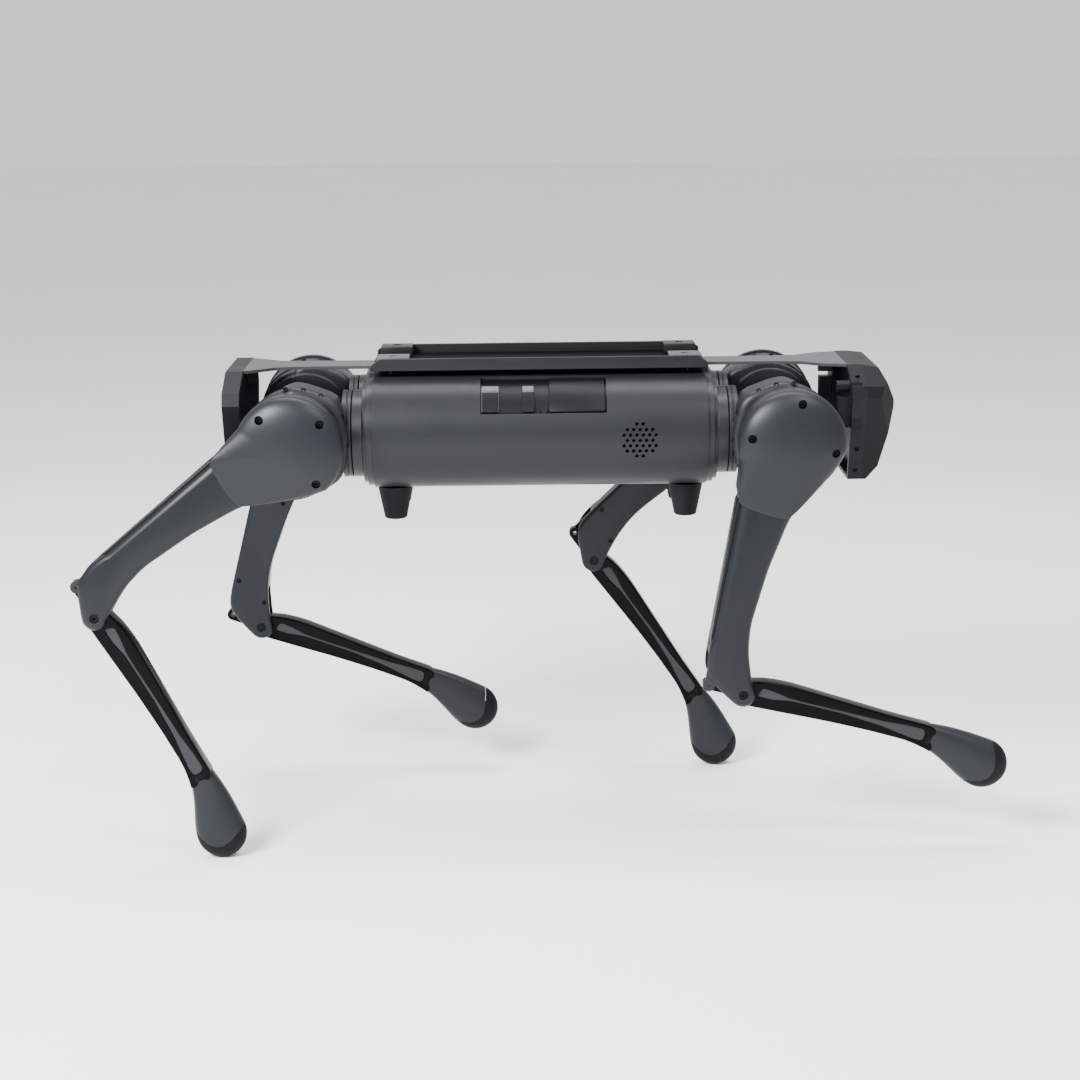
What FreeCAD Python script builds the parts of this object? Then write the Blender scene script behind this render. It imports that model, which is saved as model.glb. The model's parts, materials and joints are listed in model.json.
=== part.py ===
import FreeCAD, Part
import math
import os

# Quadruped walking robot, modelled in a mid-stride stance. Millimetres, +X forward,
# +Y to the robot's left, +Z up. The origin is on the floor under the middle of the trunk.

V = FreeCAD.Vector

# Driving dimensions
HIP_X = 240.0            # roll and pitch axes, in front of and behind the trunk's middle
ROLL_Y = 51.0            # roll axis, off the robot's centre plane
LEG_Y = 134.0            # middle plane of a leg, off the robot's centre plane
AXIS_Z = 409.4           # height of the trunk's long axis and of every hip axis
THIGH = 250.0            # hip axis to knee axis
CALF = 250.0             # knee axis to the middle of the foot
FOOT_R = 25.0            # rolling radius of the foot
FOOT_HALF = 16.0         # half its width
LEVER = 34.0             # arm of the knee crank and of the calf's lever
LEVER_TURN = 176.0       # the lever's angle from the calf's own direction, degrees

SECTION_R = 56.0         # round sides of the trunk's section
SECTION_Y = 39.0         # centres of those round sides
SHELL_T = 3.0            # wall of the trunk tube
SHELL_X = 164.0          # half length of the tube
CAP_X = 174.0            # outer face of each end cap
RING_X = 183.4           # end of the fixed roll ring
NECK_X = 184.0           # start of the turning roll ring
NECK_END_X = 193.0
RING_R = 43.0

SCREW_R = 3.4            # head of a cover screw
SINK_R = 4.2             # counterbore over it
PIVOT_R = 5.0            # knee and crank pins
RUN = 0.05               # radial clearance of a running fit

# Stance of each leg: thigh angle from hanging (knee back is positive), then knee angle
# from straight (negative folds the foot forward)
LEGS = {
    "front_right": (1, -1, 10.5, -82.5),
    "front_left": (1, 1, 46.5, -78.5),
    "rear_right": (-1, -1, 50.0, -76.5),
    "rear_left": (-1, 1, 14.5, -81.5),
}

DECK_Z = 62.0            # underside of the payload deck over the trunk's axis
DECK_X = 165.0
DECK_Y = 56.0
DECK_TOP = 74.0
PAD_X = 144.0            # payload bolt holes
PAD_Y = 41.0
PAD_HOLE_R = 3.2
PAD_UP = 1.0             # pads over the rails

FRAME_SPAN = {1: (304.0, 318.0), -1: (292.0, 309.0)}    # X limits of each end frame
FRAME_T = 4.0
NOSE_X = 318.0           # back of the nose shell
FRAME_OUTLINE = [(50.0, 62.5), (86.0, 46.0), (90.0, 34.0), (64.0, -50.0)]


def box(x0, x1, y0, y1, z0, z1):
    corner = V(min(x0, x1), min(y0, y1), min(z0, z1))
    return Part.makeBox(abs(x1 - x0), abs(y1 - y0), abs(z1 - z0), corner)


def rod_x(y, z, r, x0, x1):
    return Part.makeCylinder(r, abs(x1 - x0), V(min(x0, x1), y, z), V(1, 0, 0))


def rod_y(x, z, r, y0, y1):
    return Part.makeCylinder(r, abs(y1 - y0), V(x, min(y0, y1), z), V(0, 1, 0))


def rod_z(x, y, r, z0, z1):
    return Part.makeCylinder(r, abs(z1 - z0), V(x, y, min(z0, z1)), V(0, 0, 1))


def prism(points, travel):
    wire = Part.makePolygon(points + [points[0]])
    return Part.Face(wire).extrude(travel)


def join(shapes):
    whole = shapes[0].fuse(shapes[1:]) if len(shapes) > 1 else shapes[0]
    return whole.removeSplitter()


def cut(shape, tools):
    return shape.cut(Part.makeCompound(tools))


def save(name, shape):
    shape.exportStep("parts/" + name + ".step")


# ---------------------------------------------------------------- trunk


def stadium(r, half_y, x0, x1):
    """A bar along X whose section is two half rounds joined by flats."""
    sides = [rod_x(-half_y, 0, r, x0, x1), rod_x(half_y, 0, r, x0, x1)]
    return join(sides + [box(x0, x1, -half_y, half_y, -r, r)])


def section_point(angle, r):
    """A point at radius r of the trunk's right round side, angle up from level."""
    a = math.radians(angle)
    return V(0, -SECTION_Y - r * math.cos(a), r * math.sin(a))


def section_band(inner, outer, low, high, x0, x1):
    """Part of the trunk's right round side, between two radii and two angles."""
    mid = (low + high) / 2
    outer_arc = Part.Arc(*[section_point(a, outer) for a in (low, mid, high)])
    inner_arc = Part.Arc(*[section_point(a, inner) for a in (high, mid, low)])
    ends = [
        Part.makeLine(section_point(high, outer), section_point(high, inner)),
        Part.makeLine(section_point(low, inner), section_point(low, outer)),
    ]
    wire = Part.Wire([outer_arc.toShape(), ends[0], inner_arc.toShape(), ends[1]])
    wire.translate(V(x0, 0, 0))
    return Part.Face(wire).extrude(V(x1 - x0, 0, 0))


PORT = (-58.0, 65.0, 25.0, 76.0)     # the port window: X limits, then angle limits
BUTTON = (4.0, 29.0, 3.6)            # X, angle and radius of the power button
SPEAKER_X = 97.0
SPEAKER_Z = -3.0
SPEAKER_ROWS = [2, 5, 6, 5, 6, 5, 2]
SPEAKER_PITCH = (6.2, 5.3)
SPEAKER_HOLE_R = 1.8


def speaker_holes():
    holes = []
    middle = (len(SPEAKER_ROWS) - 1) / 2
    for row, count in enumerate(SPEAKER_ROWS):
        z = SPEAKER_Z + (row - middle) * SPEAKER_PITCH[1]
        for n in range(count):
            x = SPEAKER_X + (n - (count - 1) / 2) * SPEAKER_PITCH[0]
            holes.append(rod_y(x, z, SPEAKER_HOLE_R, -110, -80))
    return holes


def trunk_shell():
    inner_r = SECTION_R - SHELL_T
    shell = stadium(SECTION_R, SECTION_Y, -SHELL_X, SHELL_X)
    shell = shell.cut(stadium(inner_r, SECTION_Y, -SHELL_X - 1, SHELL_X + 1))
    window = section_band(inner_r - 3, SECTION_R + 5, PORT[2], PORT[3], PORT[0], PORT[1])
    return cut(shell, [window] + speaker_holes())


def end_cap(side):
    """Stepped cap that closes one end of the tube and carries the two fixed roll rings."""
    cap = [
        stadium(SECTION_R - SHELL_T - 0.2, SECTION_Y, side * (SHELL_X - 12), side * SHELL_X),
        stadium(SECTION_R - 2, SECTION_Y, side * SHELL_X, side * (CAP_X - 4)),
        stadium(SECTION_R - 5, SECTION_Y, side * (CAP_X - 4), side * CAP_X),
    ]
    for y in (-ROLL_Y, ROLL_Y):
        cap.append(rod_x(y, 0, RING_R, side * CAP_X, side * RING_X))
    bores = []
    for y in (-ROLL_Y, ROLL_Y):
        bores.append(rod_x(y, 0, 12 + RUN, side * (SHELL_X - 20), side * (RING_X + 5)))
    bores.append(stadium(SECTION_R - 10, SECTION_Y, side * (SHELL_X - 20), side * (SHELL_X - 4)))
    return cut(join(cap), bores)


def roll_motors():
    """Four sealed drive units behind the caps; each output shaft runs in its ring."""
    units = []
    for side in (-1, 1):
        for y in (-ROLL_Y, ROLL_Y):
            can = rod_x(y, 0, 38, side * 112, side * (SHELL_X - 12.5))
            nose = rod_x(y, 0, 30, side * (SHELL_X - 12.5), side * (SHELL_X - 4))
            units.append(join([can, nose]))
    return Part.makeCompound(units)


def port_panel():
    """Sunk panel behind the port window, with two raised socket covers and a lid."""
    inner_r = SECTION_R - SHELL_T
    low, high = PORT[2] - 3, PORT[3] + 3
    panel = section_band(inner_r - 2.5, inner_r, low, high, PORT[0] - 3, PORT[1] + 3)
    covers = [
        section_band(inner_r - 1, SECTION_R, 27, 50, -56.5, -40.5),
        section_band(inner_r - 1, SECTION_R, 27, 50, -17.0, -6.0),
        section_band(inner_r - 1, SECTION_R - 1.2, 27, 54, 12.0, 63.0),
        section_band(inner_r - 1, inner_r + 0.8, 27, 50, -40.5, -17.0),
    ]
    aim = section_point(BUTTON[1], 1) - section_point(BUTTON[1], 0)
    start = section_point(BUTTON[1], 40) + V(BUTTON[0], 0, 0)
    hole = Part.makeCylinder(BUTTON[2] + 0.3, 30, start, aim)
    return join([panel] + covers).cut(hole)


def power_button():
    aim = section_point(BUTTON[1], 1) - section_point(BUTTON[1], 0)
    start = section_point(BUTTON[1], 48.0) + V(BUTTON[0], 0, 0)
    stem = Part.makeCylinder(BUTTON[2], 7.0, start, aim)
    collar = Part.makeCylinder(BUTTON[2] + 1.6, 2.0, start, aim)
    return join([stem, collar])


def payload_deck():
    """Tray with two side rails, four drilled pads and feet down to the trunk tube."""
    top = [box(-DECK_X, DECK_X, -DECK_Y, DECK_Y, DECK_Z, DECK_Z + 3)]
    for y in (-1, 1):
        rail = [V(-DECK_X, 0, DECK_Z), V(DECK_X, 0, DECK_Z), V(DECK_X, 0, DECK_TOP - 7)]
        rail += [V(DECK_X - 8, 0, DECK_TOP), V(8 - DECK_X, 0, DECK_TOP)]
        rail += [V(-DECK_X, 0, DECK_TOP - 7)]
        wall = prism(rail, V(0, 3, 0))
        wall.translate(V(0, y * DECK_Y - (3 if y > 0 else 0), 0))
        top.append(wall)
        for x in (-1, 1):
            mid = x * PAD_X
            top.append(box(mid - 16, mid + 16, y * 26, y * DECK_Y, DECK_Z, DECK_TOP + PAD_UP))
    for x in (-120, 0, 120):
        for y in (-1, 1):
            top.append(box(x - 12, x + 12, y * 14, y * 34, SECTION_R, DECK_Z))
    holes = []
    for x in (-PAD_X, PAD_X):
        for y in (-PAD_Y, PAD_Y):
            holes.append(rod_z(x, y, PAD_HOLE_R, DECK_Z - 1, DECK_TOP + PAD_UP + 1))
    return cut(join(top), holes)


def top_strap(side):
    """Flat plate from the deck to the top of an end frame, waisted between the hips."""
    half = [(DECK_X, 20.0), (235.0, 20.0), (262.0, 24.0), (282.0, 40.0)]
    half.append((FRAME_SPAN[side][0], 46.0))
    outline = [V(side * x, y, DECK_Z - 2.5) for x, y in half]
    outline += [V(side * x, -y, DECK_Z - 2.5) for x, y in reversed(half)]
    plate = prism(outline, V(0, 0, 3))
    foot = box(side * (CAP_X - 22), side * (CAP_X - 5), -18, 18, SECTION_R - 2, DECK_Z - 2.5)
    foot = foot.cut(stadium(SECTION_R, SECTION_Y, side * 100, side * SHELL_X))
    tongue = box(side * (SHELL_X - 8), side * DECK_X, -20, 20, DECK_Z - 2.5, DECK_Z)
    return join([plate, tongue, foot])


def hexagon(outline, grow, x0, x1):
    points = []
    for sign, order in ((1, outline), (-1, list(reversed(outline)))):
        for y, z in order:
            points.append(V(x0, sign * (y + grow), z + (grow if z > 0 else -grow)))
    return prism(points, V(x1 - x0, 0, 0))


def end_frame(side):
    """Closed six-sided band standing across the robot, with a panel in its far half."""
    near, far = side * FRAME_SPAN[side][0], side * FRAME_SPAN[side][1]
    band = hexagon(FRAME_OUTLINE, 0, near, far)
    band = band.cut(hexagon(FRAME_OUTLINE, -FRAME_T, near - side, far + side))
    web = hexagon(FRAME_OUTLINE, -FRAME_T + 0.5, far - side * 5, far - side * 1.5)
    stays = head_stays() if side > 0 else []
    return join([band, web] + stays)


NOSE = [(0.0, 62.5), (16.0, 60.0), (29.0, 31.0), (29.0, 24.0), (15.0, -36.0), (4.0, -50.0)]
NOSE += [(0.0, -50.0)]


def head_shell():
    """Blunt faceted nose on the front frame, hollow, with a window opening in its face."""
    side_view = prism([V(NOSE_X + x, -120, z) for x, z in NOSE], V(0, 240, 0))
    plan = [V(NOSE_X, -90, -60), V(NOSE_X + 14, -90, -60), V(NOSE_X + 34, -66, -60)]
    plan += [V(NOSE_X + 34, 66, -60), V(NOSE_X + 14, 90, -60), V(NOSE_X, 90, -60)]
    solid = side_view.common(hexagon(FRAME_OUTLINE, 0, NOSE_X, NOSE_X + 35))
    solid = solid.common(prism(plan, V(0, 0, 130)))
    hollow = box(NOSE_X - 1, NOSE_X + 12, -55, 55, -40, 52)
    opening = box(NOSE_X + 5, NOSE_X + 50, -44, 44, -8, 30)
    return cut(solid, [hollow, opening])


def sensor_window():
    """Dark window that fills the opening in the nose."""
    return box(NOSE_X + 15, NOSE_X + 22, -44, 44, -8, 30)


def head_stays():
    """Block and knob behind the front frame, on both sides."""
    near = FRAME_SPAN[1][0]
    stays = []
    for y in (-1, 1):
        stays.append(box(near - 12, near + 1, y * 64, y * 76, 4, 34))
        stays.append(rod_x(y * 68, 44, 5.5, near - 13, near + 1))
        stays.append(box(near, near + 10, y * 56, y * 84, 2, 50))
    return stays


def belly_feet():
    """Four tapered rubber feet that the robot lies on when it is folded."""
    feet = []
    for x in (-145.0, 145.0):
        for y in (-40.0, 40.0):
            top = SECTION_R + 3
            cone = Part.makeCone(11.0, 17.5, top - 55 + 29, V(x, y, -88), V(0, 0, 1))
            cone = cone.makeFillet(2.5, [cone.Edges[i] for i in (2,)])
            feet.append(cone.cut(stadium(SECTION_R, SECTION_Y, -SHELL_X, SHELL_X)))
    return Part.makeCompound(feet)


def battery_pack():
    floor = SHELL_T - SECTION_R
    pack = box(-95, 95, -34, 34, floor, floor + 46)
    return pack.makeFillet(4, pack.Edges)


# ---------------------------------------------------------------- legs
# A leg is drawn hanging straight down from its hip axis at the origin, for the robot's
# left side: X forward, Z up, and Y outward from the leg's middle plane.


def flat(u, v):
    """A point of the leg's side view: u down from the axis, v to the robot's back."""
    return V(-v, 0, -u)


def plate(points, y0, y1):
    shape = prism([flat(u, v) for u, v in points], V(0, y1 - y0, 0))
    shape.translate(V(0, y0, 0))
    return shape


def at(u, v, r, y0, y1):
    return rod_y(-v, -u, r, y0, y1)


def arc(cu, cv, r, start, end, steps):
    """Points round a circle of the side view, by angle from the u axis towards v."""
    turn = [math.radians(start + (end - start) * i / steps) for i in range(steps + 1)]
    return [(cu + r * math.cos(a), cv + r * math.sin(a)) for a in turn]


HOUSING_IN = 58.0 - LEG_Y        # inner end of the pitch drive, from the leg's plane
HOUSING_OUT = 104.0 - LEG_Y      # its outer flange face
THIGH_IN = -24.0                 # inner face of the thigh at the hip
KNEE_IN = -17.0
KNEE_OUT = 17.0
SLOT = 11.0                      # half the slot that the calf and the knee rod run in
COVER_OUT = 26.0                 # top of the dome over the knee drive
HIP_R = 50.0
AXLE_R = 10.0                    # thigh's axle in the pitch drive
CHAMBER_R = 44.0                 # room for the crank round the hip axis
MOTOR_R = 33.0                   # knee drive
MOTOR_IN = 8.6
MOTOR_OUT = 20.0

THIGH_LINE = [(50.0, 42.0), (241.0, 41.0), (250.0, 36.5), (261.0, 10.0)]
THIGH_LINE += arc(250, 0, 13.0, 40, -88, 4)
THIGH_LINE += [(237.0, -6.0), (208.0, 3.0), (181.0, 6.0), (123.0, 0.0), (75.0, -9.4)]
THIGH_LINE += [(56.0, -16.0)]
COVER_R = 52.0
COVER_ARC = (64.0, 268.0)                   # where the lid's round leaves for its straight sides
COVER_TAIL = [(13.0, -46.5), (26.0, -39.5), (50.0, -24.5), (66.0, -14.5), (73.5, -7.0)]
COVER_TAIL += [(75.0, 4.0), (72.5, 20.0), (68.0, 36.0), (63.0, 43.4), (52.0, 44.8)]
COVER_TAIL += [(36.0, 45.6)]
DOME = [(0.1, 1.0), (9.0, 1.0), (15.0, 0.985), (20.0, 0.94), (23.6, 0.86), (25.5, 0.74)]
DOME += [(COVER_OUT, 0.62)]
DOME_MIDDLE = (8.0, 0.0)
WELL_Y = 12.0                    # floor of the screws' counterbores
COVER_SCREWS = [(-40.5, 0.0), (0.0, 40.5), (0.0, -40.5)]


def hip_housing(fore):
    """Pitch drive's casing with a neck to the roll ring; fore is 1 on a front leg."""
    ring_y = ROLL_Y - LEG_Y
    neck_x = -fore * (HIP_X - NECK_X)
    end_x = -fore * (HIP_X - NECK_END_X)
    side = [V(end_x, 0, -38), V(end_x, 0, 38), V(-fore * 12, 0, 48), V(-fore * 12, 0, -48)]
    shoulder = prism(side, V(0, HOUSING_OUT - HOUSING_IN - 5, 0))
    shoulder.translate(V(0, HOUSING_IN + 2, 0))
    body = [
        at(0, 0, HIP_R, HOUSING_OUT - 20, HOUSING_OUT),
        at(0, 0, HIP_R - 4, HOUSING_IN + 12, HOUSING_OUT - 20),
        at(0, 0, HIP_R - 1, HOUSING_IN + 6, HOUSING_IN + 12),
        at(0, 0, HIP_R - 6, HOUSING_IN, HOUSING_IN + 6),
        rod_x(ring_y, 0, RING_R, neck_x, end_x),
        shoulder,
        rod_x(ring_y, 0, 12, -fore * (HIP_X - CAP_X), end_x),
    ]
    chamber = at(0, 0, 40, HOUSING_IN + 4, HOUSING_OUT + 1)
    screws = ring_of_screws(HIP_R - 6.5, 1.7, HOUSING_OUT - 8, HOUSING_OUT + 1)
    return cut(join(body), [chamber] + screws)


def ring_of_screws(r, size, y0, y1):
    ring = []
    for n in range(12):
        a = math.radians(15 + 30 * n)
        ring.append(at(r * math.cos(a), r * math.sin(a), size, y0, y1))
    return ring


def hip_motor():
    """Pitch drive: it fills the casing's chamber and carries the thigh on its stub."""
    drive = [at(0, 0, 39.8, HOUSING_IN + 4, HOUSING_OUT - 0.5)]
    drive.append(at(0, 0, 34, HOUSING_OUT - 0.5, THIGH_IN - 0.5))
    return join(drive).cut(at(0, 0, AXLE_R + RUN, -45, THIGH_IN))


def thigh_inner():
    """Inner half of the thigh: a hub disc at the hip and the leg's inner side wall."""
    hub = join([at(0, 0, HIP_R, THIGH_IN, -9), at(0, 0, AXLE_R, -44, THIGH_IN)])
    arm = plate(THIGH_LINE, KNEE_IN, -0.1)
    root = plate([(0, 42), (66, 42), (75, -9.4), (20, -46)], -20, -9)
    hollow = plate(cavity(), -SLOT, 1)
    chamber = at(0, 0, CHAMBER_R, -13, 0)
    edge = [at(u, v, 2.2, KNEE_IN - 1, KNEE_IN + 2) for u, v in EDGE_SCREWS]
    bore = at(THIGH, 0, PIVOT_R, KNEE_IN - 1, 0)
    body = join([hub, arm, root])
    return cut(body, [hollow, chamber, bore] + edge)


EDGE_SCREWS = [(110.0, 35.0), (110.0, 7.0), (205.0, 35.0), (222.0, 3.0)]


def cavity():
    """Side view of the slot through the thigh for the rod, the lever and the calf."""
    line = [(-1.0, LEVER + 5.4), (230.0, LEVER + 5.4), (236.0, LEVER + 12), (275.0, LEVER + 12)]
    line += [(275.0, -30.0), (214.0, -30.0), (206.0, 8.0), (181.0, 10.0), (120.0, 4.0)]
    line += [(40.0, -6.0)]
    return line + [(-1.0, -6.0)]


def thigh_outer():
    """Outer half of the thigh, from the cover's seam to the knee."""
    arm = plate(THIGH_LINE, 0.1, KNEE_OUT)
    root = plate([(20, 42), (66, 42), (75, -9.4), (45, -26), (20, -30)], 0.1, 8)
    hollow = plate(cavity(), -1, SLOT)
    chamber = at(0, 0, CHAMBER_R, -1, 9)
    sink = at(THIGH, 0, 4.4, KNEE_OUT - 4, KNEE_OUT + 1)
    bore = at(THIGH, 0, PIVOT_R, -1, KNEE_OUT - 4)
    return cut(join([arm, root]), [hollow, chamber, sink, bore])


def thigh_cover():
    """Domed lid over the knee drive, screwed on at three points."""
    lid = Part.makeLoft([cover_outline(y, size) for y, size in DOME], True, False)
    wells = [at(u, v, SINK_R, WELL_Y, COVER_OUT + 1) for u, v in COVER_SCREWS]
    hollow = [at(0, 0, MOTOR_R, -1, MOTOR_OUT), at(0, 0, CHAMBER_R, -1, MOTOR_IN)]
    hollow.append(plate(THIGH_LINE, -1, KNEE_OUT + 0.2))
    hollow.append(plate([(0, 42), (66, 42), (75, -9.4), (45, -26), (0, -34)], -1, 8.2))
    return cut(lid, hollow + wells)


def cover_outline(y, size):
    """The lid's side view at one height: a round over the drive, drawn out to its seam."""
    points = arc(0, 0, COVER_R, COVER_ARC[0], COVER_ARC[1], 12) + COVER_TAIL
    cu, cv = DOME_MIDDLE
    around = [flat(cu + size * (u - cu), cv + size * (v - cv)) for u, v in points]
    curve = Part.BSplineCurve()
    curve.interpolate(Points=around, PeriodicFlag=True)
    wire = Part.Wire(curve.toShape())
    wire.translate(V(0, y, 0))
    return wire


def edges_at(shape, y):
    """The edges of a shape that lie in one plane of constant Y."""
    box_of = [(e, e.BoundBox) for e in shape.Edges]
    return [e for e, b in box_of if abs(b.YMin - y) < 0.01 and abs(b.YMax - y) < 0.01]


def thigh_screws():
    """The lid's three screws, and the knee bolt through both halves of the thigh."""
    screws = []
    for u, v in COVER_SCREWS:
        head = at(u, v, SCREW_R, WELL_Y, WELL_Y + 3.5)
        screws.append(head.cut(at(u, v, 1.5, WELL_Y + 1.5, WELL_Y + 4)))
    bolt = at(THIGH, 0, PIVOT_R - 0.02, KNEE_IN + 0.6, KNEE_OUT - 4)
    head = at(THIGH, 0, 4.3, KNEE_OUT - 4, KNEE_OUT - 1)
    screws.append(join([bolt, head]).cut(at(THIGH, 0, 1.8, KNEE_OUT - 3, KNEE_OUT)))
    return Part.makeCompound(screws)


def knee_motor():
    """Knee drive: its round body sits under the lid, and its shaft turns the crank."""
    return join([at(0, 0, MOTOR_R, MOTOR_IN, MOTOR_OUT), at(0, 0, 6, -13, MOTOR_IN)])


def lever_tip(knee):
    a = math.radians(knee + LEVER_TURN)
    return LEVER * math.cos(a), LEVER * math.sin(a)


def link(a, b, r, y0, y1):
    """A bar with round ends between two points of the side view."""
    du, dv = b[0] - a[0], b[1] - a[1]
    length = math.hypot(du, dv)
    nu, nv = -dv / length * r, du / length * r
    sides = [(a[0] + nu, a[1] + nv), (b[0] + nu, b[1] + nv)]
    sides += [(b[0] - nu, b[1] - nv), (a[0] - nu, a[1] - nv)]
    return join([plate(sides, y0, y1), at(a[0], a[1], r, y0, y1), at(b[0], b[1], r, y0, y1)])


def knee_crank(knee):
    """Arm on the knee drive's shaft; its pin carries the rod."""
    tip = lever_tip(knee)
    arm = join([link((0, 0), tip, 7, -4.5, 3.5), at(0, 0, 12, -4.5, 3.5)])
    arm = cut(arm, [at(0, 0, 6 + RUN, -6, 5)])
    return join([arm, at(tip[0], tip[1], 3, 3.5, 8.2)])


def knee_rod(knee):
    """Push rod from the crank's pin to the calf's lever, parallel to the thigh."""
    tu, tv = lever_tip(knee)
    bar = link((tu, tv), (THIGH + tu, tv), 4.5, 4.0, 8.0)
    eye = at(THIGH + tu, tv, 6.2, 4.0, 8.0)
    hole = at(tu, tv, 3 + RUN, 3, 9)
    stub = at(THIGH + tu, tv, 2.8, -2.5, 4.0)
    through = at(THIGH + tu, tv, 1.7, -3, 9)
    return cut(join([bar, eye, stub]), [hole, through])


CALF_LINE = [(6.0, 13.5), (18.0, 17.5), (40.0, 20.5), (148.0, 21.0), (211.0, 24.4), (238.0, 21.8)]
CALF_LINE += [(236.0, -18.0), (223.0, -15.0), (205.0, -7.0), (190.0, -1.5), (170.0, 1.5)]
CALF_LINE += [(130.0, 0.0), (89.0, -3.0), (45.0, -7.5), (10.0, -11.0)]
FOOT_SIDE = [(203.0, -40.0), (203.0, -6.2), (192.0, 5.0), (190.0, 13.0), (205.0, 24.3)]
FOOT_SIDE += [(205.0, 60.0), (330.0, 60.0), (330.0, -40.0)]


def calf_plate(points, y0, y1):
    """As plate, in the calf's own frame: t down from the knee and s to the front."""
    return plate([(t, -s) for t, s in points], y0, y1)


def calf_tube():
    """Slim shin with a knee eye and lever at its top and a long groove in each side."""
    shin = calf_plate(CALF_LINE, -9.5, 9.5).cut(calf_plate(FOOT_SIDE, -20, 20))
    eye = join([at(0, 0, 12.0, -9.5, 3.0), at(0, 0, 9.5, 3.0, 9.5)])
    turn = math.radians(LEVER_TURN)
    tip = (LEVER * math.cos(turn), LEVER * math.sin(turn))
    lever = link((0, 0), tip, 6.2, -2.5, 2.5)
    body = join([shin, eye, lever])
    grooves = []
    for y0, y1 in ((-10, -6.5), (6.5, 10)):
        line = [(24, -4.0), (24, 10.0), (60, 13.5), (60, 1.0)]
        grooves.append(calf_plate(line, y0, y1))
        line = [(60, 5.5), (60, 12.5), (150, 14.5), (183, 17.0), (186, 8.0), (178, 4.5), (150, 6.5)]
        grooves.append(calf_plate(line, y0, y1))
    grooves.append(at(0, 0, PIVOT_R + RUN, -12, 12))
    grooves.append(at(tip[0], tip[1], 3.1, -4, 4))
    return cut(body, grooves)


def foot_tread():
    """The whole rounded foot, before it is split into sock and sole."""
    tread = at(CALF, 0, FOOT_R, -FOOT_HALF, FOOT_HALF)
    return tread.makeFillet(9.0, edges_at(tread, -FOOT_HALF) + edges_at(tread, FOOT_HALF))


def foot_core():
    return at(CALF, 0, FOOT_R - 4, 4 - FOOT_HALF, FOOT_HALF - 4)


def above_sole():
    """Everything on the shin's side of the line where the sole ends."""
    line = [(CALF + 6, -40), (CALF - 2, 0), (CALF + 2, 40), (CALF - 70, 40), (CALF - 70, -40)]
    return calf_plate(line, -20, 20)


def foot_sock():
    """Moulded end of the shin, swelling to the foot, from the seam across the shin."""
    swell = calf_plate(CALF_LINE, -11, 11).common(calf_plate(FOOT_SIDE, -20, 20))
    return join([swell, foot_tread().common(above_sole()), foot_core()])


def foot_pad():
    """Rubber sole wrapped round the end of the foot."""
    return cut(foot_tread(), [foot_core(), above_sole()])


def set_leg(shape, name, knee_part):
    """Pose a left-hand hanging part in a leg's stance and move it to its hip."""
    fore, out, pitch, knee = LEGS[name]
    posed = shape.copy()
    if knee_part:
        posed.rotate(V(0, 0, 0), V(0, 1, 0), knee)
        posed.translate(V(0, 0, -THIGH))
    posed.rotate(V(0, 0, 0), V(0, 1, 0), pitch)
    posed.translate(V(0, LEG_Y, 0))
    if out < 0:
        posed = posed.mirror(V(0, 0, 0), V(0, 1, 0))
    posed.translate(V(fore * HIP_X, 0, AXIS_Z))
    return posed


def set_housing(shape, name):
    """Put a hip casing at its roll axis; it stays level whatever the thigh does."""
    fore, out, _, _ = LEGS[name]
    placed = shape.copy()
    placed.translate(V(0, LEG_Y, 0))
    if out < 0:
        placed = placed.mirror(V(0, 0, 0), V(0, 1, 0))
    placed.translate(V(fore * HIP_X, 0, AXIS_Z))
    return placed


def build_leg(name):
    fore, _, _, knee = LEGS[name]
    save(name + "_hip_housing", set_housing(hip_housing(fore), name))
    save(name + "_hip_motor", set_housing(hip_motor(), name))
    save(name + "_thigh_inner", set_leg(thigh_inner(), name, False))
    save(name + "_thigh_outer", set_leg(thigh_outer(), name, False))
    save(name + "_thigh_cover", set_leg(thigh_cover(), name, False))
    save(name + "_thigh_screws", set_leg(thigh_screws(), name, False))
    save(name + "_knee_motor", set_leg(knee_motor(), name, False))
    save(name + "_knee_crank", set_leg(knee_crank(knee), name, False))
    save(name + "_knee_rod", set_leg(knee_rod(knee), name, False))
    save(name + "_calf_tube", set_leg(calf_tube(), name, True))
    save(name + "_foot_sock", set_leg(foot_sock(), name, True))
    save(name + "_foot_pad", set_leg(foot_pad(), name, True))


def build_trunk():
    parts = {
        "trunk_shell": trunk_shell(),
        "trunk_caps": Part.makeCompound([end_cap(1), end_cap(-1)]),
        "roll_motors": roll_motors(),
        "port_panel": port_panel(),
        "power_button": power_button(),
        "payload_deck": payload_deck(),
        "top_straps": Part.makeCompound([top_strap(1), top_strap(-1)]),
        "end_frames": Part.makeCompound([end_frame(1), end_frame(-1)]),
        "head_shell": head_shell(),
        "sensor_window": sensor_window(),
        "belly_feet": belly_feet(),
        "battery_pack": battery_pack(),
    }
    for name, shape in parts.items():
        shape.translate(V(0, 0, AXIS_Z))
        save(name, shape)


os.makedirs("parts", exist_ok=True)
build_trunk()
for leg in LEGS:
    build_leg(leg)
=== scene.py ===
import json
import math

import bmesh
import bpy
from mathutils import Matrix, Vector


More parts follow.
